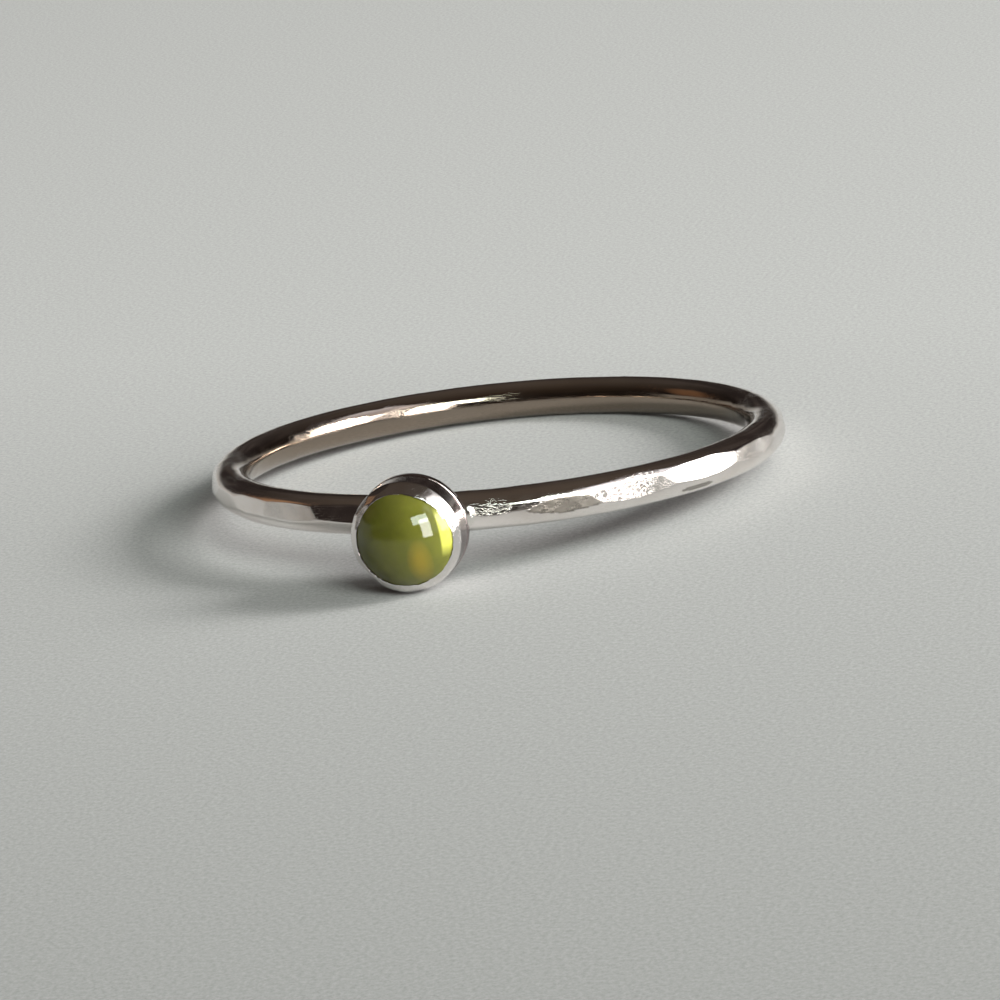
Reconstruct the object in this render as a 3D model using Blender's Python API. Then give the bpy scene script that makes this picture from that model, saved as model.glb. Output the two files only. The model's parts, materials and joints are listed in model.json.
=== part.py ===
# A stackable finger ring of hammered round silver wire. A plain bezel cup is soldered to the outside
# of the band and holds a round green cabochon. The ring lies on its side, as it does when it is put
# down: the band rests on its underside opposite the stone, and the edge of the cup props up the rest.
# Metres, +Z up, the stone towards -Y, the origin on the surface under the middle of the ring.

import math

import bmesh
import bpy
from mathutils import Matrix, Vector

mm = 0.001

# Driving dimensions
finger_hole = 16.66 * mm        # across the inside of the band
wire = 1.29 * mm                # thickness of the round wire
stone_diameter = 3.05 * mm
stone_height = 1.95 * mm        # flat base to the top of the dome
girdle_height = 1.11 * mm       # straight side of the stone, below its dome
base_chamfer = 0.06 * mm        # ground off the edge of the stone's base
stone_clearance = 0.03 * mm     # all round the stone, under it and beneath the lip
bezel_wall = 0.22 * mm
base_plate = 0.28 * mm
plate_rim = 0.015 * mm          # the base plate stands out this far past the bezel wall
lip_bend = 0.14 * mm            # the wall starts to lean in this far below the top of the girdle
lip_rise = 0.09 * mm            # how far the burnished lip climbs over the dome
lip_edge = 0.03 * mm            # thickness left at the edge of the lip
lip_bulge = 0.35                # roundness of the burnished face: 0 is a plain cone, 1 a quarter round
wire_sink = 0.11 * mm           # how deep the wire is let into the base plate
setting_drop = 0.35 * mm        # middle of the cup, below the middle of the wire
setting_turn = math.radians(5)  # the cup is soldered a little askew
solder_run = 0.06 * mm          # solder showing past the cup, along the wire
solder_spread = 0.20 * mm       # solder at each side of the wire, on the plate
solder_rise = 0.42 * mm         # solder climbing from the plate towards the wire's middle
bead_width = 0.56 * mm          # a bead of solder in the corner of plate and wire, right of the stone
bead_height = 0.72 * mm
bead_depth = 0.34 * mm
bead_step = 0.09 * mm           # its middle, in front of the back of the plate

# Fineness of the faceted surfaces
band_steps = 112
wire_sides = 16
round_steps = 48
arc_steps = 6

# Hammer marks on the outside of the band that differ from the even ones: angle round the band from
# the setting, lean of the struck face above or below the band's middle, and depth in wire thicknesses
hammer_marks = (
    # angle, lean, depth
    (-78.0, 0.0, 0.050),
    (-66.0, 12.0, 0.050),
    (-54.0, 0.0, 0.050),
    (-41.0, 9.0, 0.054),
    (-28.0, 2.5, 0.062),
    (-14.0, 7.0, 0.062),
    (15.5, 11.0, 0.014),
    (21.5, 8.0, 0.022),
    (24.0, 40.0, 0.022),
    (29.8, 0.0, 0.040),
    (44.0, 6.0, 0.072),
    (45.4, 43.0, 0.010),
    (58.2, -38.0, 0.012),
    (61.0, 18.0, 0.072),
    (78.0, 15.0, 0.054),
)

# The even marks go on round the back of the band
even_first = 94.0
even_last = 268.0
even_marks = 15
even_lean = 9.0                 # to one side and the other in turn
even_depth = 0.046              # in wire thicknesses, with every third one lighter
light_share = 0.6

# Sizes that follow
wire_radius = wire / 2
ring_radius = finger_hole / 2 + wire_radius
outer_radius = ring_radius + wire_radius
stone_radius = stone_diameter / 2
dome_height = stone_height - girdle_height
dome_curve = (stone_radius ** 2 + dome_height ** 2) / (2 * dome_height)     # radius of the round dome
cup_inside = stone_radius + stone_clearance
cup_outside = cup_inside + bezel_wall
plate_outside = cup_outside + plate_rim
stone_seat = base_plate + stone_clearance
girdle_top = stone_seat + girdle_height
plate_distance = outer_radius - wire_sink
wall_reach = math.sqrt(cup_outside ** 2 - setting_drop ** 2)      # half the wall's width along the wire
plate_reach = math.sqrt(plate_outside ** 2 - setting_drop ** 2)   # and the plate's
cup_foot = plate_outside + setting_drop


def make_material(name, colour, roughness, metallic):
    material = bpy.data.materials.new(name)
    material.use_nodes = True
    shader = material.node_tree.nodes["Principled BSDF"]
    shader.inputs["Base Color"].default_value = (*colour, 1.0)
    shader.inputs["Roughness"].default_value = roughness
    shader.inputs["Metallic"].default_value = metallic
    material.diffuse_color = (*colour, 1.0)
    return material


def make_object(name, bm, material, parent):
    bmesh.ops.recalc_face_normals(bm, faces=bm.faces)
    mesh = bpy.data.meshes.new(name)
    bm.to_mesh(mesh)
    bm.free()
    mesh.materials.append(material)
    mesh.shade_smooth()
    mesh.set_sharp_from_angle(angle=math.radians(35))
    made = bpy.data.objects.new(name, mesh)
    bpy.context.scene.collection.objects.link(made)
    made.parent = parent
    return made


def turned(profile):
    """A solid of revolution about Z from (radius, height) points that start and end on the axis."""
    bm = bmesh.new()
    verts = [bm.verts.new((radius, 0, height)) for radius, height in profile]
    edges = [bm.edges.new(pair) for pair in zip(verts, verts[1:])]
    bmesh.ops.spin(bm, geom=verts + edges, cent=(0, 0, 0), axis=(0, 0, 1),
                   angle=2 * math.pi, steps=round_steps, use_merge=True)
    bmesh.ops.remove_doubles(bm, verts=bm.verts, dist=0.0001 * mm)
    return bm


def dome_radius(climb):
    """Radius of the stone's dome at a height above its girdle."""
    return math.sqrt(dome_curve ** 2 - (dome_curve - dome_height + climb) ** 2)


def strike(bm, angle, lean, depth):
    """One hammer blow: a flat cut off the outside of the wire."""
    around = math.radians(angle)
    outward = Vector((math.sin(around), -math.cos(around), 0))
    face = outward * math.cos(math.radians(lean)) + Vector((0, 0, math.sin(math.radians(lean))))
    cut = bmesh.ops.bisect_plane(
        bm, geom=bm.verts[:] + bm.edges[:] + bm.faces[:], dist=0.00001 * mm,
        plane_co=outward * ring_radius + face * (wire_radius - depth * wire),
        plane_no=face, clear_outer=True)
    rim = [item for item in cut["geom_cut"] if isinstance(item, bmesh.types.BMEdge)]
    bmesh.ops.contextual_create(bm, geom=rim)


def make_band(material, parent):
    bm = bmesh.new()
    section = bmesh.ops.create_circle(bm, segments=wire_sides, radius=wire_radius)["verts"]
    bmesh.ops.rotate(bm, verts=section, cent=(0, 0, 0), matrix=Matrix.Rotation(math.pi / 2, 3, "X"))
    bmesh.ops.translate(bm, verts=section, vec=(ring_radius, 0, 0))
    bmesh.ops.spin(bm, geom=section + bm.edges[:], cent=(0, 0, 0), axis=(0, 0, 1),
                   angle=2 * math.pi, steps=band_steps, use_merge=True)
    for angle, lean, depth in hammer_marks:
        strike(bm, angle, lean, depth)
    for number in range(even_marks):
        angle = even_first + (even_last - even_first) * number / (even_marks - 1)
        lean = even_lean if number % 2 else -even_lean
        depth = even_depth * (light_share if number % 3 == 1 else 1)
        strike(bm, angle, lean, depth)
    return make_object("silver_ring", bm, material, parent)


def make_cup(material, parent):
    """The base plate and the bezel wall, whose lip is burnished over the stone."""
    reach = dome_radius(lip_rise) + stone_clearance + lip_edge
    lean = cup_outside - reach
    shoulder = girdle_top - lip_bend
    profile = [(0, 0), (plate_outside, 0), (plate_outside, base_plate), (cup_outside, base_plate)]
    for step in range(arc_steps + 1):
        share = step / arc_steps
        turn = math.pi / 2 * share
        along = (1 - lip_bulge) * (1 - share) + lip_bulge * math.cos(turn)
        up = (1 - lip_bulge) * share + lip_bulge * math.sin(turn)
        profile.append((reach + lean * along, shoulder + (lip_bend + lip_rise) * up))
    for step in range(arc_steps + 1):
        climb = lip_rise * (1 - step / arc_steps)
        profile.append((dome_radius(climb) + stone_clearance, girdle_top + climb))
    profile += [(cup_inside, base_plate), (0, base_plate)]
    return make_object("cup", turned(profile), material, parent)


def make_solder(material, parent):
    """Solder that fills the corner between the base plate and the round wire."""
    bm = bmesh.new()
    bmesh.ops.create_uvsphere(bm, u_segments=2 * wire_sides, v_segments=wire_sides, radius=1)
    cut = bmesh.ops.bisect_plane(bm, geom=bm.verts[:] + bm.edges[:] + bm.faces[:], dist=0.0001,
                                 plane_co=(0, 0, 0), plane_no=(0, 0, 1), clear_outer=True)
    rim = [item for item in cut["geom_cut"] if isinstance(item, bmesh.types.BMEdge)]
    bmesh.ops.contextual_create(bm, geom=rim)
    size = (wall_reach + solder_run, wire_radius + solder_spread, solder_rise + base_plate / 2)
    bmesh.ops.scale(bm, verts=bm.verts, vec=size)
    return make_object("solder", bm, material, parent)


def make_bead(material, parent):
    bm = bmesh.new()
    bmesh.ops.create_uvsphere(bm, u_segments=wire_sides, v_segments=wire_sides // 2, radius=0.5)
    bmesh.ops.scale(bm, verts=bm.verts, vec=(bead_width, bead_height, bead_depth))
    return make_object("solder_bead", bm, material, parent)


def make_stone(material, parent):
    profile = [(0, 0), (stone_radius - base_chamfer, 0), (stone_radius, base_chamfer)]
    steps = 2 * arc_steps
    rim_angle = math.asin(stone_radius / dome_curve)
    for step in range(steps + 1):
        turn = rim_angle * (1 - step / steps)
        profile.append((dome_curve * math.sin(turn), stone_height - dome_curve * (1 - math.cos(turn))))
    return make_object("cabochon", turned(profile), material, parent)


def unite(solid, added):
    """Fuse a piece to the solid and keep the piece itself as a guide only."""
    union = solid.modifiers.new(added.name, "BOOLEAN")
    union.operation = "UNION"
    union.solver = "EXACT"
    union.object = added
    added.hide_render = True
    added.display_type = "WIRE"


def lay_down(ring, pieces):
    """Tip the ring on to its two points of rest, and bring it over the origin."""
    reach = plate_distance + ring_radius
    slope = math.hypot(reach, cup_foot)
    tip = math.atan2(cup_foot, reach) - math.asin(wire_radius / slope)
    ring.rotation_euler.x = -tip
    bpy.context.view_layer.update()
    corners = [piece.matrix_world @ vertex.co for piece in pieces for vertex in piece.data.vertices]
    low = [min(corner[axis] for corner in corners) for axis in range(3)]
    high = [max(corner[axis] for corner in corners) for axis in range(3)]
    ring.location = (-(low[0] + high[0]) / 2, -(low[1] + high[1]) / 2, -low[2])


def main():
    for old in list(bpy.data.objects):
        bpy.data.objects.remove(old, do_unlink=True)
    silver = make_material("silver", (0.86, 0.82, 0.77), 0.12, 1.0)
    green_stone = make_material("green_stone", (0.30, 0.36, 0.06), 0.08, 0.0)

    ring = bpy.data.objects.new("ring", None)
    setting = bpy.data.objects.new("setting", None)
    for empty in (ring, setting):
        empty.empty_display_size = finger_hole / 4
        bpy.context.scene.collection.objects.link(empty)
    setting.parent = ring
    setting.location = (0, -plate_distance, -setting_drop)
    setting.rotation_euler = (math.pi / 2, 0, setting_turn)

    band = make_band(silver, ring)
    cup = make_cup(silver, setting)
    solder = make_solder(silver, setting)
    solder.location = (0, setting_drop, base_plate / 2)
    bead = make_bead(silver, setting)
    bead.location = (plate_reach, setting_drop, bead_step)
    stone = make_stone(green_stone, setting)
    stone.location.z = stone_seat
    unite(band, cup)
    unite(band, solder)
    unite(band, bead)
    lay_down(ring, (band, cup, stone))
    bpy.context.view_layer.update()


main()
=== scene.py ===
# Stackable ring: hammered silver wire, a bezel cup and a green cabochon, lying on its side
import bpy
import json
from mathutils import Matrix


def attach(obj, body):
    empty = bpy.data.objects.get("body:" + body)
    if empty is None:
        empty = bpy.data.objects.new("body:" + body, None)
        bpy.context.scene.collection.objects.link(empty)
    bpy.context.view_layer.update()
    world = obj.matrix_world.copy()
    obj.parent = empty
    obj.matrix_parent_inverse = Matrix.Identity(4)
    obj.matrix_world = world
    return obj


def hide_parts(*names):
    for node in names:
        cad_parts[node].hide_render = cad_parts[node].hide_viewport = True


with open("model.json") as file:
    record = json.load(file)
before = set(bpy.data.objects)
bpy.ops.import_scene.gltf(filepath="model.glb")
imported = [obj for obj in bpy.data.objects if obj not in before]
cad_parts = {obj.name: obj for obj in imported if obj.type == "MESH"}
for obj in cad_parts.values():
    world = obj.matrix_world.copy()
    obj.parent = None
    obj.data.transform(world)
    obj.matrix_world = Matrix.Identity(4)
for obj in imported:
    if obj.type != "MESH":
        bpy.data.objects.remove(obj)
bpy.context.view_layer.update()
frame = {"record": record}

import json
import math

import bmesh
import bpy
import numpy as np
from mathutils import Matrix, Vector, noise

mm = 0.001
fullTurn = 2 * math.pi

# The ring's own frame: its middle at zero, its axis up, the cup towards -Y
hole = frame["record"]["mounts"][0]
holeAxis = Vector(hole["axis"])
ringPlace = Matrix.Translation(hole["pos_m"]) @ Matrix.Rotation(-math.atan2(holeAxis.y, holeAxis.z), 4, "X")
wireRadius = hole["dims"]["length_mm"] * mm / 2
ringRadius = hole["dims"]["r_mm"] * mm + wireRadius
print("frame loaded, band radius", round(ringRadius / mm, 3), "mm")

# Camera, fitted to the outlines in the photograph
view = {
    "azimuth": 17.7,            # from the cup towards +X, degrees
    "elevation": 11.9,          # above the band's plane
    "roll": -6.08,
    "distance": 166.2 * mm,
    "right": 0.064 * mm,        # of the camera, off the middle of the band
    "up": -1.613 * mm,
    "lens": 179.5,              # mm, as is the sensor
    "sensor": 36,
    "near": 10 * mm,
}


def lookFrom(azimuth, elevation):
    # axes of something that looks at the middle of the ring
    a, e = math.radians(azimuth), math.radians(elevation)
    back = Vector((math.sin(a) * math.cos(e), -math.cos(a) * math.cos(e), math.sin(e)))
    right = Vector((0, 0, 1)).cross(back).normalized()
    return Matrix((right, back.cross(right), back)).transposed().to_4x4()


def makeCamera():
    camera = bpy.data.objects.new("camera", bpy.data.cameras.new("camera"))
    bpy.context.scene.collection.objects.link(camera)
    camera.data.lens = view["lens"]
    camera.data.sensor_width = view["sensor"]
    camera.data.clip_start = view["near"]
    aim = Matrix.Translation((view["right"], view["up"], view["distance"]))
    turn = Matrix.Rotation(math.radians(view["roll"]), 4, "Z")
    camera.matrix_world = ringPlace @ lookFrom(view["azimuth"], view["elevation"]) @ turn @ aim
    bpy.context.scene.camera = camera


makeCamera()
print("camera made")


# Node helpers
def addNode(tree, kind, **values):
    node = tree.nodes.new(kind)
    for key, value in values.items():
        setattr(node, key, value)
    return node


def setInputs(node, **values):
    for key, value in values.items():
        node.inputs[key].default_value = value
    return node


def makeRamp(tree, source, stops):
    ramp = addNode(tree, "ShaderNodeValToRGB")
    while len(ramp.color_ramp.elements) < len(stops):
        ramp.color_ramp.elements.new(0.5)
    for element, (place, colour) in zip(ramp.color_ramp.elements, stops):
        element.position = place
        element.color = colour if len(colour) == 4 else (*colour, 1)
    tree.links.new(source, ramp.inputs["Fac"])
    return ramp.outputs["Color"]


def grey(value):
    return (value, value, value)


def doMath(tree, operation, first, second=0.5):
    node = addNode(tree, "ShaderNodeMath", operation=operation)
    for socket, value in zip(node.inputs, (first, second)):
        if isinstance(value, (int, float)):
            socket.default_value = value
        else:
            tree.links.new(value, socket)
    return node.outputs["Value"]


def mixColour(tree, share, first, second):
    node = addNode(tree, "ShaderNodeMix", data_type="RGBA")
    for socket, value in ((node.inputs["Factor"], share), (node.inputs[6], first), (node.inputs[7], second)):
        if isinstance(value, (int, float)):
            socket.default_value = value
        elif isinstance(value, tuple):
            socket.default_value = (*value, 1)
        else:
            tree.links.new(value, socket)
    return node.outputs[2]


def addNoise(tree, vector, scale, detail=2.0, roughness=0.5):
    node = addNode(tree, "ShaderNodeTexNoise")
    for key, value in (("Scale", scale), ("Detail", detail), ("Roughness", roughness)):
        if isinstance(value, (int, float)):
            node.inputs[key].default_value = value
        else:
            tree.links.new(value, node.inputs[key])
    tree.links.new(vector, node.inputs["Vector"])
    return node.outputs["Fac"]


def startMaterial(name):
    material = bpy.data.materials.new(name)
    material.use_nodes = True
    return material, material.node_tree, material.node_tree.nodes["Principled BSDF"]


# Fine scratches and haze, shared by all the silver
wearLook = {
    "scales": {"Scratch Scale": 9000.0, "Haze Scale": 1500.0, "Patch Scale": 700.0},
    "scratches": ((0.3, 0.05), (1.2, 0.04), (2.3, 0.07)),   # turn of each set, and its width over its length
    "turns": (1, 0.7, 1.6),             # share of that turn about each axis
    "line": (0.485, 0.5, 0.515),        # noise values at the two sides and in the middle of a scratch
    "patch": ((0.42, 0.15), (0.62, 1)),  # noise values, and how strong the scratches are there
    "haze": (5.0, 0.6),                 # detail and roughness of its noise
    "lineDetail": 1.0,
    "patchDetail": 3.0,
}


def makeWearGroup():
    group = bpy.data.node_groups.new("silverWear", "ShaderNodeTree")
    group.interface.new_socket("Vector", in_out="INPUT", socket_type="NodeSocketVector")
    for name, scale in wearLook["scales"].items():
        group.interface.new_socket(name, in_out="INPUT", socket_type="NodeSocketFloat").default_value = scale
    for name in ("Scratches", "Haze", "Height"):
        group.interface.new_socket(name, in_out="OUTPUT", socket_type="NodeSocketFloat")
    source = addNode(group, "NodeGroupInput")
    result = addNode(group, "NodeGroupOutput")
    lines = None
    left, middle, right = wearLook["line"]
    for turn, stretch in wearLook["scratches"]:
        mapping = addNode(group, "ShaderNodeMapping")
        mapping.inputs["Rotation"].default_value = [turn * share for share in wearLook["turns"]]
        mapping.inputs["Scale"].default_value = (stretch, 1.0, 1.0)
        group.links.new(source.outputs["Vector"], mapping.inputs["Vector"])
        field = addNoise(group, mapping.outputs["Vector"], source.outputs["Scratch Scale"], wearLook["lineDetail"])
        line = makeRamp(group, field, ((left, grey(0)), (middle, grey(1)), (right, grey(0))))
        lines = line if lines is None else doMath(group, "MAXIMUM", lines, line)
    field = addNoise(group, source.outputs["Vector"], source.outputs["Patch Scale"], wearLook["patchDetail"])
    patch = makeRamp(group, field, [(value, grey(share)) for value, share in wearLook["patch"]])
    scratches = doMath(group, "MULTIPLY", lines, patch)
    haze = addNoise(group, source.outputs["Vector"], source.outputs["Haze Scale"], *wearLook["haze"])
    height = doMath(group, "SUBTRACT", haze, scratches)
    for value, name in ((scratches, "Scratches"), (haze, "Haze"), (height, "Height")):
        group.links.new(value, result.inputs[name])
    return group


wearGroup = makeWearGroup()
silverLook = {
    "cloud": (420.0, 4.0, 0.55),        # scale, detail and roughness of the noise between dull and clean
    "cloudEnds": (0.35, 0.6),
    "scratchShare": 0.5,                # of the scratches in the roughness, beside the haze
    "wearEnds": (0.3, 1.0),             # wear at which the silver is smoothest and roughest
    "bumpDistance": 0.004 * mm,
    "plainBump": 0.6,                   # share of the bump where nothing is scuffed
    "scuffBump": 2.6,                   # added where it is, with roughness and a darker tone of painted shade
    "scuffRoughness": 0.20,
    "scuffShadeShare": 0.9,
    # painted shade: scuffed places are darkened to a dim grey
    "scuffPaintedShade": (0.15, 0.13, 0.105),
}


def makeSilver(name, look):
    # a piece with a tarnish colour stores how scuffed and how tarnished each point is; the scuffs darken it as
    # painted shade, and the tarnish is partly painted dark reflection
    material, tree, shader = startMaterial(name)
    place = addNode(tree, "ShaderNodeTexCoord").outputs["Object"]
    wear = addNode(tree, "ShaderNodeGroup", node_tree=wearGroup)
    setInputs(wear, **{"Scratch Scale": look["scratchScale"], "Patch Scale": look["patchScale"]})
    tree.links.new(place, wear.inputs["Vector"])
    cloud = addNoise(tree, place, *silverLook["cloud"])
    tone = makeRamp(tree, cloud, tuple(zip(silverLook["cloudEnds"], (look["dull"], look["clean"]))))
    worn = doMath(tree, "MULTIPLY", wear.outputs["Scratches"], silverLook["scratchShare"])
    mixed = doMath(tree, "ADD", worn, wear.outputs["Haze"])
    spread = addNode(tree, "ShaderNodeMapRange")
    names = ("From Min", "From Max", "To Min", "To Max")
    setInputs(spread, **dict(zip(names, silverLook["wearEnds"] + look["roughness"])))
    tree.links.new(mixed, spread.inputs["Value"])
    roughness, height = spread.outputs["Result"], wear.outputs["Height"]
    if "tarnishAndShade" in look:
        scuffAndShade = addNode(tree, "ShaderNodeAttribute", attribute_name="scuffAndShade").outputs["Fac"]
        tarnishAndShadeMask = addNode(tree, "ShaderNodeAttribute", attribute_name="tarnishAndShade").outputs["Fac"]
        extra = doMath(tree, "MULTIPLY", scuffAndShade, silverLook["scuffRoughness"])
        roughness = doMath(tree, "ADD", roughness, extra)
        extra = doMath(tree, "MULTIPLY", scuffAndShade, silverLook["scuffBump"])
        height = doMath(tree, "MULTIPLY", height, doMath(tree, "ADD", extra, silverLook["plainBump"]))
        # painted shade: scuffed places take a dark tone
        share = doMath(tree, "MULTIPLY", scuffAndShade, silverLook["scuffShadeShare"])
        tone = mixColour(tree, share, tone, silverLook["scuffPaintedShade"])
        tone = mixColour(tree, tarnishAndShadeMask, tone, look["tarnishAndShade"])
    tree.links.new(tone, shader.inputs["Base Color"])
    tree.links.new(roughness, shader.inputs["Roughness"])
    bumpNode = addNode(tree, "ShaderNodeBump")
    setInputs(bumpNode, Strength=look["bump"], Distance=silverLook["bumpDistance"])
    tree.links.new(height, bumpNode.inputs["Height"])
    tree.links.new(bumpNode.outputs["Normal"], shader.inputs["Normal"])
    shader.inputs["Metallic"].default_value = 1.0
    return material


mergeDistance = 0.0001 * mm


def placePiece(name, bm, place, material, node):
    # fixes normals, puts the mesh in its place and hangs it on the frame
    bmesh.ops.remove_doubles(bm, verts=bm.verts, dist=mergeDistance)
    bmesh.ops.recalc_face_normals(bm, faces=bm.faces)
    bmesh.ops.transform(bm, matrix=place, verts=bm.verts)
    mesh = bpy.data.meshes.new(name)
    bm.to_mesh(mesh)
    bm.free()
    mesh.shade_smooth()
    mesh.materials.append(material)
    piece = bpy.data.objects.new(name, mesh)
    bpy.context.scene.collection.objects.link(piece)
    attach(piece, "root")
    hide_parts(node)
    print(name, len(mesh.polygons), "faces")
    return piece


def reshape(bm, change):
    # moves every vertex by a function of all the places at once
    points = np.array([vert.co for vert in bm.verts])
    for vert, point in zip(bm.verts, change(points)):
        vert.co = point


def storeLayers(bm, scuffAndShadeShares, tarnishAndShadeValues):
    for name, values in (("scuffAndShade", scuffAndShadeShares), ("tarnishAndShade", tarnishAndShadeValues)):
        layer = bm.verts.layers.float.new(name)
        for vert, value in zip(bm.verts, values):
            vert[layer] = value


def wander(points, size, amount, seed):
    # slow unevenness of hand work, another one for each seed
    shift = Vector((seed, 2.3 * seed, 5.1 * seed))
    return np.array([noise.noise(Vector(point) / size + shift) for point in points]) * amount


softReach = 4                   # a cut with a soft edge is felt this many softnesses outside it


def pushedIn(over, soft):
    # how far a cut moves each point: all that stands over it, eased at its edge
    push = (over + np.sqrt(over ** 2 + soft ** 2)) / 2
    return np.where(over > -softReach * soft, push, 0)[:, None]


# Hammered band
band = {
    "steps": 150,
    "cuts": 5,                  # extra rings of points between two steps
    "sides": 96,
    "thin": 0.004 * mm,         # the struck wire is this much slimmer than its gauge
    "edgeSoft": 0.006 * mm,     # rounding of a mark's edges by polishing
    "acrossCurve": 60 * mm,     # hollow left by the round face of the hammer
    "alongCurve": 20 * mm,      # the marks still follow the band a little
    "unevenSize": 1.6 * mm,
    "uneven": 0.018 * mm,
    "markUneven": 0.004 * mm,
    "markUnevenSize": 0.5 * mm,
    "clean": (0.94, 0.895, 0.865),
    "dull": (0.85, 0.785, 0.745),
    "roughness": (0.05, 0.16),  # from the smoothest to the roughest
    "bump": 0.35,
    "scratchScale": 9000.0,
    "patchScale": 700.0,
    # tarnish on the lower inside, which also serves as a painted dark reflection there
    "tarnishAndShade": (0.24, 0.18, 0.13),
    "tarnishAndShadeShare": 0.88,
    "tarnishAndShadeLean": -20,         # the tarnish and the painted dark reflection lie rather low on the inside, degrees
    "tarnishAndShadeSpread": 1.6,       # and is full well before its middle
    "scuffEdge": 0.002 * mm,    # a scuff runs out this far beyond its mark
}

# Marks that show: angle round the band from the cup, lean above its middle, both in degrees,
# depth in mm and how scuffed the mark is, which also darkens it as painted shade
marks = [
    (-78, 0, 0.070, 0.1), (-66, 12, 0.070, 0), (-54, 0, 0.070, 0.1), (-41, 9, 0.072, 0),
    (-29, 8, 0.088, 0.1), (-14.5, 14, 0.080, 0),
    (14.4, 9, 0.034, 0.7), (21.8, 7, 0.026, 0), (19.5, 34, 0.032, 0), (29.8, -3, 0.060, 0.95),
    (44, 6, 0.092, 0.1), (45.4, 43, 0.012, 0.5),
    (61, 18, 0.092, 0.1), (58.2, -38, 0.014, 0.8), (78, 15, 0.070, 0.2),
]
# and the even ones round the back
backMarks = {"first": 94, "last": 268, "count": 15, "lean": 9, "depth": 0.070, "light": 0.6, "scuffAndShade": 0.1}


def allMarks():
    count = backMarks["count"]
    rest = []
    for number in range(count):
        angle = backMarks["first"] + (backMarks["last"] - backMarks["first"]) * number / (count - 1)
        lean = backMarks["lean"] if number % 2 else -backMarks["lean"]
        # every third one is lighter
        depth = backMarks["depth"] * (backMarks["light"] if number % 3 == 1 else 1)
        rest.append((angle, lean, depth, backMarks["scuffAndShade"]))
    return marks + rest


def struck(points):
    # new places of the points, how scuffed each is, which darkens it as painted shade, and how tarnished, with
    # painted dark reflection on the lower inside
    outwards = np.stack([points[:, 0], points[:, 1], 0 * points[:, 2]], 1)
    outwards /= np.linalg.norm(outwards, axis=1)[:, None]
    core = outwards * ringRadius
    radial = points - core
    radial /= np.linalg.norm(radial, axis=1)[:, None]
    slim = wander(points, band["unevenSize"], band["uneven"], seed=1.0)
    small = wander(points, band["markUnevenSize"], band["markUneven"], seed=3.0)
    points = core + radial * (wireRadius - band["thin"] - np.abs(slim))[:, None]
    scuffAndShadeShares = np.zeros(len(points))
    for angle, lean, depth, scuffAndShade in allMarks():
        around, tilt = math.radians(angle), math.radians(lean)
        out = np.array([math.sin(around), -math.cos(around), 0])
        face = out * math.cos(tilt) + np.array([0, 0, math.sin(tilt)])
        spot = out * ringRadius + face * (wireRadius - depth * mm)
        away = points - spot
        over = away @ face
        along = (away @ np.array([math.cos(around), math.sin(around), 0])) ** 2
        across = (away ** 2).sum(1) - over ** 2 - along
        over = over + along / (2 * band["alongCurve"]) - across / (2 * band["acrossCurve"]) + small
        points = points - pushedIn(over, band["edgeSoft"]) * face
        scuffAndShadeShares = np.where(over > -band["scuffEdge"], scuffAndShade, scuffAndShadeShares)
    # tarnish with painted dark reflection: darker on the inside, most where it faces down
    lean = math.radians(band["tarnishAndShadeLean"])
    facing = -(radial * outwards).sum(1) * math.cos(lean) + radial[:, 2] * math.sin(lean)
    return points, scuffAndShadeShares, np.clip(facing * band["tarnishAndShadeSpread"], 0, 1) * band["tarnishAndShadeShare"]


def makeBand():
    bm = bmesh.new()
    section = bmesh.ops.create_circle(bm, segments=band["sides"], radius=wireRadius)["verts"]
    bmesh.ops.rotate(bm, verts=section, cent=(0, 0, 0), matrix=Matrix.Rotation(math.pi / 2, 3, "X"))
    bmesh.ops.translate(bm, verts=section, vec=(ringRadius, 0, 0))
    bmesh.ops.spin(bm, geom=section + bm.edges[:], cent=(0, 0, 0), axis=(0, 0, 1),
                   angle=fullTurn, steps=band["steps"], use_merge=True)
    step = 0.5 * fullTurn / band["steps"]
    along = [edge for edge in bm.edges
             if edge.verts[0].co.xy.length > 0 and edge.verts[0].co.xy.angle(edge.verts[1].co.xy) > step]
    bmesh.ops.subdivide_edges(bm, edges=along, cuts=band["cuts"], use_grid_fill=True)
    places, scuffAndShadeShares, tarnishAndShadeValues = struck(np.array([vert.co for vert in bm.verts]))
    for vert, place in zip(bm.verts, places):
        vert.co = place
    storeLayers(bm, scuffAndShadeShares, tarnishAndShadeValues)
    placePiece("hammered_band", bm, ringPlace, makeSilver("hammeredSilver", band), "silver_ring")


makeBand()

# Cup and stone
setting = {
    "sink": 0.11 * mm,          # of the wire into the base plate
    "drop": 0.35 * mm,
    "turn": 5,                  # degrees
    "stone": 1.55 * mm,         # radius
    "girdle": 1.11 * mm,
    "dome": 0.84 * mm,
    "chamfer": 0.06 * mm,
    "seat": 0.31 * mm,          # from the back of the plate to the stone
    "clearance": 0.005 * mm,
    "wall": 0.22 * mm,
    "plate": 0.28 * mm,
    "plateRim": 0.015 * mm,
    "lipBend": 0.19 * mm,       # the wall starts to lean in this far below the top of the girdle
    "lipRise": 0.09 * mm,
    "lipEdge": 0.03 * mm,
    "lipBulge": 0.35,           # 0 a plain cone, 1 a quarter round
    "lipGap": 0.026 * mm,
    "flatRing": 0.5,            # flat discs get one more ring of points, at this share of their radius
    "steps": 288,
}
domeCurve = (setting["stone"] ** 2 + setting["dome"] ** 2) / (2 * setting["dome"])
cupRadius = setting["stone"] + setting["clearance"] + setting["wall"]
girdleTop = setting["seat"] + setting["girdle"]
shoulder = girdleTop - setting["lipBend"]
lipTop = girdleTop + setting["lipRise"]
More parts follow.
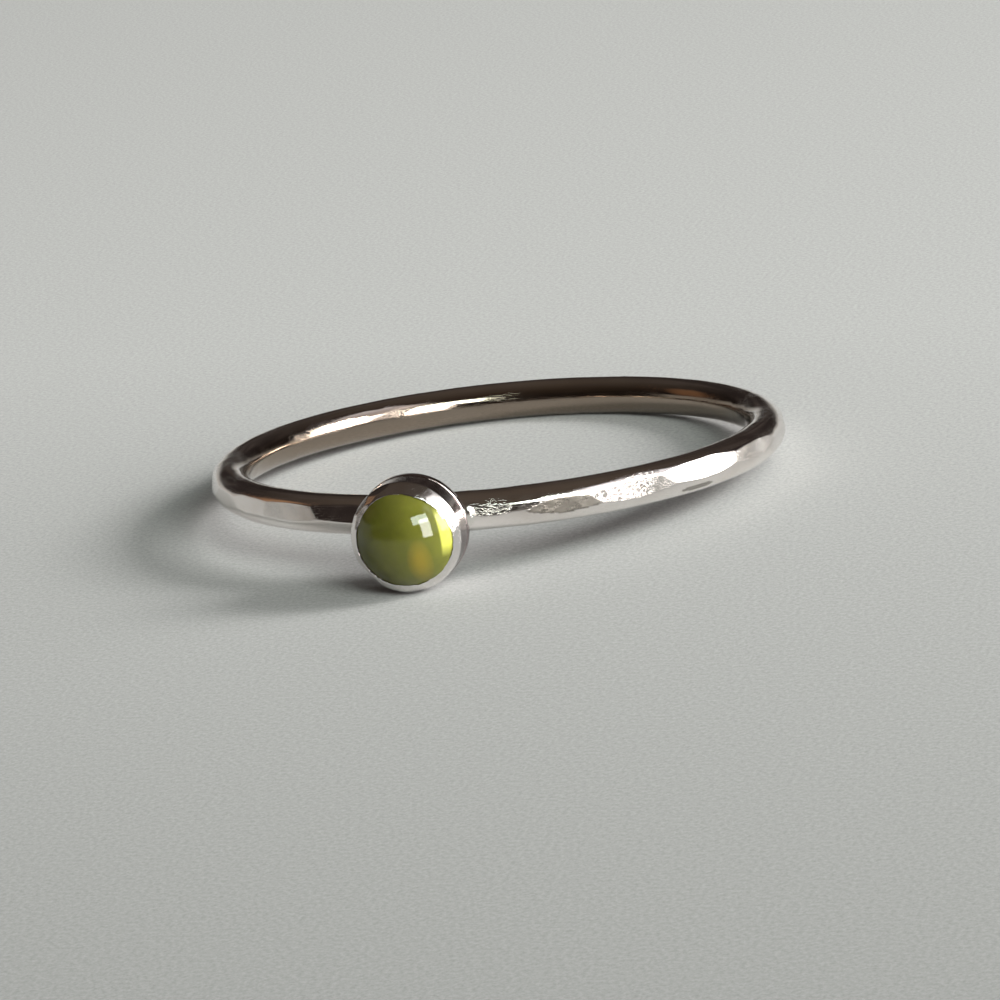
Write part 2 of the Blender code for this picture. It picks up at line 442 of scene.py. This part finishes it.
settingPlace = (
    ringPlace
    @ Matrix.Translation((0, setting["sink"] - ringRadius - wireRadius, -setting["drop"]))
    @ Matrix.Rotation(math.radians(setting["turn"]), 4, "Z")
    @ Matrix.Rotation(math.pi / 2, 4, "X")
)


def domeRadius(climb):
    return math.sqrt(domeCurve ** 2 - (domeCurve - setting["dome"] + climb) ** 2)


lipRadius = domeRadius(setting["lipRise"]) + setting["lipGap"]


def arc(count, radius, height, reach, rise, first=0, last=90):
    # points on an ellipse, from its side to its top
    angles = [math.radians(first + (last - first) * step / count) for step in range(count + 1)]
    return [(radius + reach * math.cos(a), height + rise * math.sin(a)) for a in angles]


def turned(profile):
    bm = bmesh.new()
    verts = [bm.verts.new((radius, 0, height)) for radius, height in profile]
    edges = [bm.edges.new(pair) for pair in zip(verts, verts[1:])]
    bmesh.ops.spin(bm, geom=verts + edges, cent=(0, 0, 0), axis=(0, 0, 1),
                   angle=fullTurn, steps=setting["steps"], use_merge=True)
    return bm


# Bezel cup
cup = {
    "corner": 0.025 * mm,       # rounding of the base plate's edge
    "strokes": 31,              # of the burnisher round the lip
    "strokeTilt": (41, 20),     # degrees, and how much it varies
    "strokeDepth": (0.013 * mm, 0.012 * mm),
    "strokeSoft": 0.003 * mm,
    "strokePlace": (0.02 * mm, 0.03 * mm),  # of their middles, outside and above the middle of the lip
    "opening": 1.495 * mm,      # radius that the lip leaves free, more at the sides and less at the top
    "openingWider": 0.052 * mm,
    "openingLower": 0.057 * mm,
    "openingCorner": (0.09 * mm, 105, 6),   # wider again at this angle, up and to the left, narrowly
    "scuffAndShadeShares": 0.12,
    "scuffedAndShadedSide": (0.5, 50, 4),     # more scuffed, and darkened there as painted shade, at this angle, up and to the right, less narrowly
    "ragged": 0.018 * mm,       # along the inner edge
    "raggedSize": 0.13 * mm,
    "uneven": 0.010 * mm,       # of the wall
    "unevenSize": 0.9 * mm,
    "cornerSteps": 4,
    "wallSteps": 10,
    "lipSteps": 24,
    "underSteps": 6,            # from the lip's edge down to the girdle
    "edgeSteps": 3,
    "edgeRise": 0.004 * mm,
    "clean": (0.95, 0.91, 0.89),
    "dull": (0.84, 0.79, 0.77),
    "roughness": (0.07, 0.20),
    "bump": 0.3,
    "scratchScale": 11000.0,
    "patchScale": 900.0,
    # purple-brown: tarnish on the plate and under the lip's edge, painted dark reflection on the wall
    "tarnishAndShade": (0.42, 0.34, 0.34),
    "tarnishAndShadeShare": 0.6,        # painted dark reflection, on the wall below the lip
    "tarnishPlate": 0.9,        # on the plate, and inside the lip's edge
    "tarnishEdge": 1.004,       # that edge, in lip radii
    "tarnishAndShadeFade": 0.10 * mm,
}


def burnished(points):
    angles = np.arctan2(points[:, 1], points[:, 0])
    outwards = np.stack([np.cos(angles), np.sin(angles), 0 * angles], 1)
    radii = np.hypot(points[:, 0], points[:, 1])
    outer = radii > setting["stone"] + 2 * setting["clearance"]
    lip = np.clip((cupRadius - radii) / (cupRadius - lipRadius), 0, 1) * (points[:, 2] > shoulder)
    outside, above = cup["strokePlace"]
    middle = (cupRadius + lipRadius) / 2 + outside
    for number in range(cup["strokes"]):
        # how far each stroke strays in angle, tilt and depth
        chance = [noise.noise(Vector((number * 1.7 + 0.4, row * 3.1, 2.2))) for row in range(3)]
        angle = fullTurn * (number + 0.5 * chance[0]) / cup["strokes"]
        tilt = math.radians(cup["strokeTilt"][0] + cup["strokeTilt"][1] * 2 * chance[1])
        depth = cup["strokeDepth"][0] + cup["strokeDepth"][1] * 2 * chance[2]
        out = np.array([math.cos(angle), math.sin(angle), 0])
        face = out * math.cos(tilt) + np.array([0, 0, math.sin(tilt)])
        spot = out * middle + np.array([0, 0, (shoulder + lipTop) / 2 + above]) - face * depth
        points = points - pushedIn((points - spot) @ face, cup["strokeSoft"]) * face
    opening = cup["opening"] + cup["openingWider"] * np.cos(2 * angles) - cup["openingLower"] * np.sin(angles)
    extra, corner, narrow = cup["openingCorner"]
    opening = opening + extra * np.clip(np.cos(angles - math.radians(corner)), 0, 1) ** narrow
    opening = opening + wander(outwards * lipRadius, cup["raggedSize"], cup["ragged"], seed=7.0)
    climb = np.sqrt(domeCurve ** 2 - (opening - setting["lipGap"]) ** 2) - domeCurve + setting["dome"]
    wall = -np.abs(wander(points, cup["unevenSize"], cup["uneven"], seed=4.0)) * outer
    points = points + outwards * (wall + (opening - lipRadius) * lip)[:, None]
    points[:, 2] += (climb - setting["lipRise"]) * lip
    return points


def makeCup():
    rimRadius, corner, turns = cupRadius + setting["plateRim"], cup["corner"], cup["cornerSteps"]
    reach, edge = lipRadius + setting["lipEdge"], setting["lipEdge"] / 2
    plate, bulge = setting["plate"], setting["lipBulge"]
    profile = [(0, 0), (cupRadius * setting["flatRing"], 0)]
    profile += arc(turns, rimRadius - corner, corner, corner, corner, -90, 0)
    profile += arc(turns, rimRadius - corner, plate - corner, corner, corner)
    for step in range(cup["wallSteps"]):
        profile.append((cupRadius, plate + (shoulder - plate) * step / cup["wallSteps"]))
    for step in range(cup["lipSteps"] + 1):
        share = step / cup["lipSteps"]
        turn = math.pi / 2 * share
        along = (1 - bulge) * (1 - share) + bulge * math.cos(turn)
        up = (1 - bulge) * share + bulge * math.sin(turn)
        profile.append((reach + (cupRadius - reach) * along, shoulder + (lipTop - shoulder) * up))
    profile += arc(cup["edgeSteps"], reach - edge, lipTop, edge, cup["edgeRise"], 45, 180)
    for step in range(1, cup["underSteps"] + 1):
        climb = setting["lipRise"] * (1 - step / cup["underSteps"])
        profile.append((domeRadius(climb) + setting["lipGap"], girdleTop + climb))
    inside = setting["stone"] + setting["clearance"]
    profile += [(inside, shoulder), (inside, plate), (0, plate)]
    bm = turned(profile)
    hidden = lipRadius * cup["tarnishEdge"]
    more, angle, narrow = cup["scuffedAndShadedSide"]
    scuffedAndShadedSide = Vector((math.cos(math.radians(angle)), math.sin(math.radians(angle))))
    scuffAndShadeShares, tarnishAndShadeValues = [], []
    for vert in bm.verts:
        spot, height = vert.co.xy, vert.co.z
        # the painted dark reflection fades in below the shoulder, while the plate and the hidden edge get tarnish
        paintedShadeOnWall = min(1, max(0, (shoulder - height) / cup["tarnishAndShadeFade"]))
        onPlate = height < plate or spot.length < hidden
        tarnishAndShadeValues.append(cup["tarnishPlate"] if onPlate else cup["tarnishAndShadeShare"] * paintedShadeOnWall)
        # painted shade: the lip's upper right is more scuffed, and so darker
        extra = more * (height > shoulder) * max(0, scuffedAndShadedSide.dot(spot) / cupRadius) ** narrow
        scuffAndShadeShares.append(cup["scuffAndShadeShares"] + extra)
    reshape(bm, burnished)
    storeLayers(bm, scuffAndShadeShares, tarnishAndShadeValues)
    placePiece("bezel_cup", bm, settingPlace, makeSilver("bezelSilver", cup), "silver_ring")


makeCup()

# Solder between the plate and the wire, and a bead of it in the corner at the right
solder = {
    "run": 0.06 * mm,
    "spread": 0.20 * mm,
    "rise": 0.42 * mm,
    "bead": (0.28 * mm, 0.36 * mm, 0.17 * mm),  # half its size along the wire, upwards and forwards
    "beadStep": 0.09 * mm,      # its middle, in front of the back of the plate
    "uneven": 0.03 * mm,
    "unevenSize": 0.4 * mm,
    "steps": (96, 48),          # of the fillet, round and up, and then of the bead
    "beadSteps": (48, 24),
    "cutNear": 0.0001,          # points this near the fillet's flat side lie on it, in radii
    "clean": (0.90, 0.87, 0.83),
    "dull": (0.74, 0.69, 0.63),
    "roughness": (0.10, 0.30),
    "bump": 0.5,
    "scratchScale": 7000.0,
    "patchScale": 1200.0,
}


def makeBall(bm, steps):
    return bmesh.ops.create_uvsphere(bm, u_segments=steps[0], v_segments=steps[1], radius=1)["verts"]


def makeSolder():
    bm = bmesh.new()
    makeBall(bm, solder["steps"])
    cut = bmesh.ops.bisect_plane(bm, geom=bm.verts[:] + bm.edges[:] + bm.faces[:], dist=solder["cutNear"],
                                 plane_co=(0, 0, 0), plane_no=(0, 0, 1), clear_outer=True)
    rim = [item for item in cut["geom_cut"] if isinstance(item, bmesh.types.BMEdge)]
    bmesh.ops.contextual_create(bm, geom=rim)
    alongWire = math.sqrt(cupRadius ** 2 - setting["drop"] ** 2) + solder["run"]
    size = (alongWire, wireRadius + solder["spread"], solder["rise"] + setting["plate"] / 2)
    bmesh.ops.scale(bm, verts=bm.verts, vec=size)
    reshape(bm, lambda points: points * (1 - np.abs(
        wander(points, solder["unevenSize"], solder["uneven"], seed=9.0)) / solder["rise"])[:, None])
    bmesh.ops.translate(bm, verts=bm.verts, vec=(0, setting["drop"], setting["plate"] / 2))
    beadPlace = math.sqrt((cupRadius + setting["plateRim"]) ** 2 - setting["drop"] ** 2)
    bead = makeBall(bm, solder["beadSteps"])
    bmesh.ops.scale(bm, verts=bead, vec=solder["bead"])
    bmesh.ops.translate(bm, verts=bead, vec=(beadPlace, setting["drop"], solder["beadStep"]))
    placePiece("solder_joint", bm, settingPlace, makeSilver("solderSilver", solder), "silver_ring")


makeSolder()

# Green cabochon
stone = {
    "deep": (0.082, 0.082, 0.013),
    "green": (0.132, 0.136, 0.020),
    "light": (0.49, 0.49, 0.095),       # painted glow of light along the right edge
    # painted amber glow of light, at the lower right
    "amberGlow": (0.275, 0.20, 0.022),
    # places in stone radii, to the right and up
    "paintedGlowCentre": (-1.0, -0.1),        # the painted glow lies outside an arc round this point
    "paintedGlowEdge": (0.785, 0.82),         # soft edge of that arc, less one radius
    "paintedGlowEnds": (0.12, 0.24, 0.52),    # its middle, and how far from it the ends fade
    "amberGlowPlace": (0.36, -0.42),
    "amberGlowReach": (0.26, 0.50),
    "amberGlowFade": ((0.0, 0.8), (0.35, 0.45), (1.0, 0)),  # its share by squared distance, in reaches
    "cloud": (1100.0, 4.0, 0.6),        # scale, detail and roughness of the noise between deep and green
    "cloudEnds": (0.15, 0.85),
    "side": (0.28, -0.06),              # painted light: lighter and greener to the right, and a little downwards
    "roughness": 0.03,
    "bend": 1.5,                        # of light that enters it
    "milk": 0.14 * mm,                  # how far light strays inside, and the shares of each colour
    "milkColour": (0.8, 1.0, 0.35),
    "clear": 0.1,
    "lower": 0.003 * mm,                # it sits this much lower than its seat
    "girdleRing": 0.6,                  # a ring of points at this share of the girdle's height
    "domeSteps": 40,
}


def makeStone():
    radius, chamfer = setting["stone"], setting["chamfer"]
    profile = [(0, 0), (radius * setting["flatRing"], 0), (radius - chamfer, 0),
               (radius, chamfer), (radius, setting["girdle"] * stone["girdleRing"])]
    rimAngle = math.asin(radius / domeCurve)
    top = setting["girdle"] + setting["dome"]
    for step in range(stone["domeSteps"] + 1):
        turn = rimAngle * (1 - step / stone["domeSteps"])
        profile.append((domeCurve * math.sin(turn), top - domeCurve * (1 - math.cos(turn))))
    bm = turned(profile)
    bmesh.ops.translate(bm, verts=bm.verts, vec=(0, 0, setting["seat"] - stone["lower"]))
    material, tree, shader = startMaterial("greenStone")
    place = addNode(tree, "ShaderNodeTexCoord").outputs["Object"]
    centred = addNode(tree, "ShaderNodeVectorMath", operation="SUBTRACT")
    tree.links.new(place, centred.inputs[0])
    centred.inputs[1].default_value = settingPlace.translation

    def across(direction):
        # place over the stone in stone radii, along one of the setting's own axes
        dot = addNode(tree, "ShaderNodeVectorMath", operation="DOT_PRODUCT")
        tree.links.new(centred.outputs["Vector"], dot.inputs[0])
        dot.inputs[1].default_value = settingPlace.to_3x3() @ Vector(direction) / radius
        return dot.outputs["Value"]

    right, up = across((1, 0, 0)), across((0, 1, 0))
    cloud = addNoise(tree, place, *stone["cloud"])
    # painted light: the tone is lighter towards the right side, where the light comes from
    side = doMath(tree, "ADD", *[doMath(tree, "MULTIPLY", value, share)
                                 for value, share in zip((right, up), stone["side"])])
    tone = makeRamp(tree, doMath(tree, "ADD", cloud, side),
                    tuple(zip(stone["cloudEnds"], (stone["deep"], stone["green"]))))

    def fromPoint(place, reach):
        # squared distance over the stone from a point, in shares of a reach
        parts = [doMath(tree, "POWER", doMath(tree, "DIVIDE", doMath(tree, "SUBTRACT", value, at), size), 2.0)
                 for value, at, size in zip((right, up), place, reach)]
        return doMath(tree, "ADD", *parts)

    # painted glow: a soft amber pool of light at the lower right
    amberGlow = makeRamp(tree, fromPoint(stone["amberGlowPlace"], stone["amberGlowReach"]),
                     [(at, grey(share)) for at, share in stone["amberGlowFade"]])
    tone = mixColour(tree, amberGlow, tone, stone["amberGlow"])
    # painted glow: a bright yellow-green crescent along the right edge, where light comes through
    paintedGlowArc = doMath(tree, "SQRT", fromPoint(stone["paintedGlowCentre"], (1, 1)))
    first, full = stone["paintedGlowEdge"]
    clear = makeRamp(tree, doMath(tree, "SUBTRACT", paintedGlowArc, 1.0), ((first, grey(0)), (full, grey(1))))
    middle, full, end = stone["paintedGlowEnds"]
    paintedGlowFade = makeRamp(tree, doMath(tree, "ABSOLUTE", doMath(tree, "SUBTRACT", up, middle)),
                    ((full, grey(1)), (end, grey(0))))
    tone = mixColour(tree, doMath(tree, "MULTIPLY", clear, paintedGlowFade), tone, stone["light"])
    tree.links.new(tone, shader.inputs["Base Color"])
    setInputs(shader, Roughness=stone["roughness"], IOR=stone["bend"])
    shader.inputs["Subsurface Weight"].default_value = 1.0
    shader.inputs["Subsurface Radius"].default_value = stone["milkColour"]
    shader.inputs["Subsurface Scale"].default_value = stone["milk"]
    shader.inputs["Transmission Weight"].default_value = stone["clear"]
    placePiece("cabochon_stone", bm, settingPlace, material, "cabochon")


makeStone()

# Floor
floor = {
    "size": 700 * mm,
    "colour": (0.422, 0.423, 0.421),
    "near": (0.266, 0.268, 0.264),      # towards the front the surface is in a little shade
    "nearPlace": -52 * mm,
    "farPlace": 20 * mm,
    "grain": 0.25,                      # how much darker its grain is at most
    "grainNoise": (7000.0, 2.0, 0.8),   # scale, detail and roughness
    "grainEnds": (0.3, 0.7),
    "roughness": 0.7,
    "shine": 0.0,
}


def makeFloor():
    bm = bmesh.new()
    bmesh.ops.create_grid(bm, x_segments=2, y_segments=2, size=floor["size"] / 2)
    mesh = bpy.data.meshes.new("floor")
    bm.to_mesh(mesh)
    bm.free()
    ground = bpy.data.objects.new("floor", mesh)
    bpy.context.scene.collection.objects.link(ground)
    material, tree, shader = startMaterial("paleFloor")
    place = addNode(tree, "ShaderNodeTexCoord").outputs["Object"]
    parts = addNode(tree, "ShaderNodeSeparateXYZ")
    tree.links.new(place, parts.inputs["Vector"])
    depth = addNode(tree, "ShaderNodeMapRange")
    setInputs(depth, **{"From Min": floor["nearPlace"], "From Max": floor["farPlace"]})
    tree.links.new(parts.outputs["Y"], depth.inputs["Value"])
    shade = mixColour(tree, depth.outputs["Result"], floor["near"], floor["colour"])
    low, high = floor["grainEnds"]
    grain = makeRamp(tree, addNoise(tree, place, *floor["grainNoise"]),
                     ((low, grey(1 - floor["grain"])), (high, grey(1))))
    mixed = addNode(tree, "ShaderNodeMix", data_type="RGBA", blend_type="MULTIPLY")
    mixed.inputs["Factor"].default_value = 1.0
    tree.links.new(shade, mixed.inputs[6])
    tree.links.new(grain, mixed.inputs[7])
    tree.links.new(mixed.outputs[2], shader.inputs["Base Color"])
    setInputs(shader, **{"Roughness": floor["roughness"], "Specular IOR Level": floor["shine"]})
    mesh.materials.append(material)


makeFloor()

# Light: window panes and a sunlit wall at the right, a warm patch at the left, a pale low wall behind,
# and a dim brown room
lights = {
    # azimuth, elevation, width, height in degrees, brightness, colour
    "windowNear": (49.5, 17, 20, 36, 14.0, (1.0, 0.99, 0.95)),
    "windowCorner": (41, 36, 31, 17, 12.0, (0.88, 1.0, 0.93)),
    "windowNext": (69.5, 28, 16, 50, 1.0, (0.97, 0.97, 1.0)),
    "windowFar": (97, 32, 38, 56, 0.9, (0.96, 0.95, 1.0)),
    "sunnyWall": (98, 17, 38, 32, 7.0, (1.0, 0.99, 0.97)),
    "sunnyPart": (99, 27, 14, 18, 50.0, (1.0, 0.99, 0.96)),
}
lightDistance = 1200 * mm
room = {
    "horizon": (0.22, 0.20, 0.18),      # in front, just above the floor
    "front": (0.022, 0.017, 0.015),
    "top": (0.075, 0.058, 0.044),
    "heights": (0.0, 0.09, 0.4, 0.95),  # of horizon, front twice and top, as sines of the elevation
    "things": (0.065, 0.052, 0.045),    # dim things standing about
    "thingsNoise": (4.0, 3.0, 0.6),     # scale, detail and roughness
    "thingsEnds": ((0.48, 0), (0.68, 0.8)),  # noise values, and how much shows of them there
    "wall": (0.42, 0.41, 0.38),         # pale and low, higher at the sides than at the back
    "wallTop": (0.195, 0.265),          # its soft upper edge, as the sine of the elevation
    "wallTip": 11,                      # degrees that this edge sinks towards the back
    "frontAzimuth": -14,                # middle of the dark side, where the camera stands
    "frontEdge": (0.50, 0.64),          # cosines of its two soft sides
    "warm": (0.30, 0.17, 0.095),        # a soft warm patch at the left
    "warmPlace": (-95, 25, 16, 5),      # azimuth, elevation, reach and full size in degrees
}


def makeLights():
    for name, (azimuth, elevation, wide, tall, brightness, colour) in lights.items():
        data = bpy.data.lights.new(name, "AREA")
        data.shape = "RECTANGLE"
        data.size = 2 * lightDistance * math.tan(math.radians(wide / 2))
        data.size_y = 2 * lightDistance * math.tan(math.radians(tall / 2))
        data.energy = brightness * math.pi * data.size * data.size_y
        data.color = colour
        lamp = bpy.data.objects.new(name, data)
        bpy.context.scene.collection.objects.link(lamp)
        lamp.matrix_world = lookFrom(azimuth, elevation) @ Matrix.Translation((0, 0, lightDistance))


def makeRoom():
    world = bpy.data.worlds.new("room")
    world.use_nodes = True
    bpy.context.scene.world = world
    tree = world.node_tree
    direction = addNode(tree, "ShaderNodeTexCoord").outputs["Generated"]
    parts = addNode(tree, "ShaderNodeSeparateXYZ")
    tree.links.new(direction, parts.inputs["Vector"])
    tones = (room["horizon"], room["front"], room["front"], room["top"])
    dark = makeRamp(tree, parts.outputs["Z"], tuple(zip(room["heights"], tones)))
    things = makeRamp(tree, addNoise(tree, direction, *room["thingsNoise"]),
                      [(value, grey(share)) for value, share in room["thingsEnds"]])
    dark = mixColour(tree, things, dark, room["things"])

    def towards(azimuth, elevation):
        facing = addNode(tree, "ShaderNodeVectorMath", operation="DOT_PRODUCT")
        tree.links.new(direction, facing.inputs[0])
        a, e = math.radians(azimuth), math.radians(elevation)
        facing.inputs[1].default_value = (math.sin(a) * math.cos(e), -math.cos(a) * math.cos(e), math.sin(e))
        return facing.outputs["Value"]

    low = makeRamp(tree, towards(180, 90 - room["wallTip"]),
                   ((room["wallTop"][0], grey(1)), (room["wallTop"][1], grey(0))))
    back = makeRamp(tree, towards(room["frontAzimuth"], 0),
                    ((room["frontEdge"][0], grey(1)), (room["frontEdge"][1], grey(0))))
    colour = mixColour(tree, doMath(tree, "MULTIPLY", low, back), dark, room["wall"])
    azimuth, elevation, reach, full = room["warmPlace"]
    warm = makeRamp(tree, towards(azimuth, elevation),
                    ((math.cos(math.radians(reach)), grey(0)), (math.cos(math.radians(full)), grey(1))))
    colour = mixColour(tree, warm, colour, room["warm"])
    tree.links.new(colour, tree.nodes["Background"].inputs["Color"])
    bpy.context.scene.view_settings.view_transform = "Standard"


makeLights()
makeRoom()
print("floor, lights and room made")
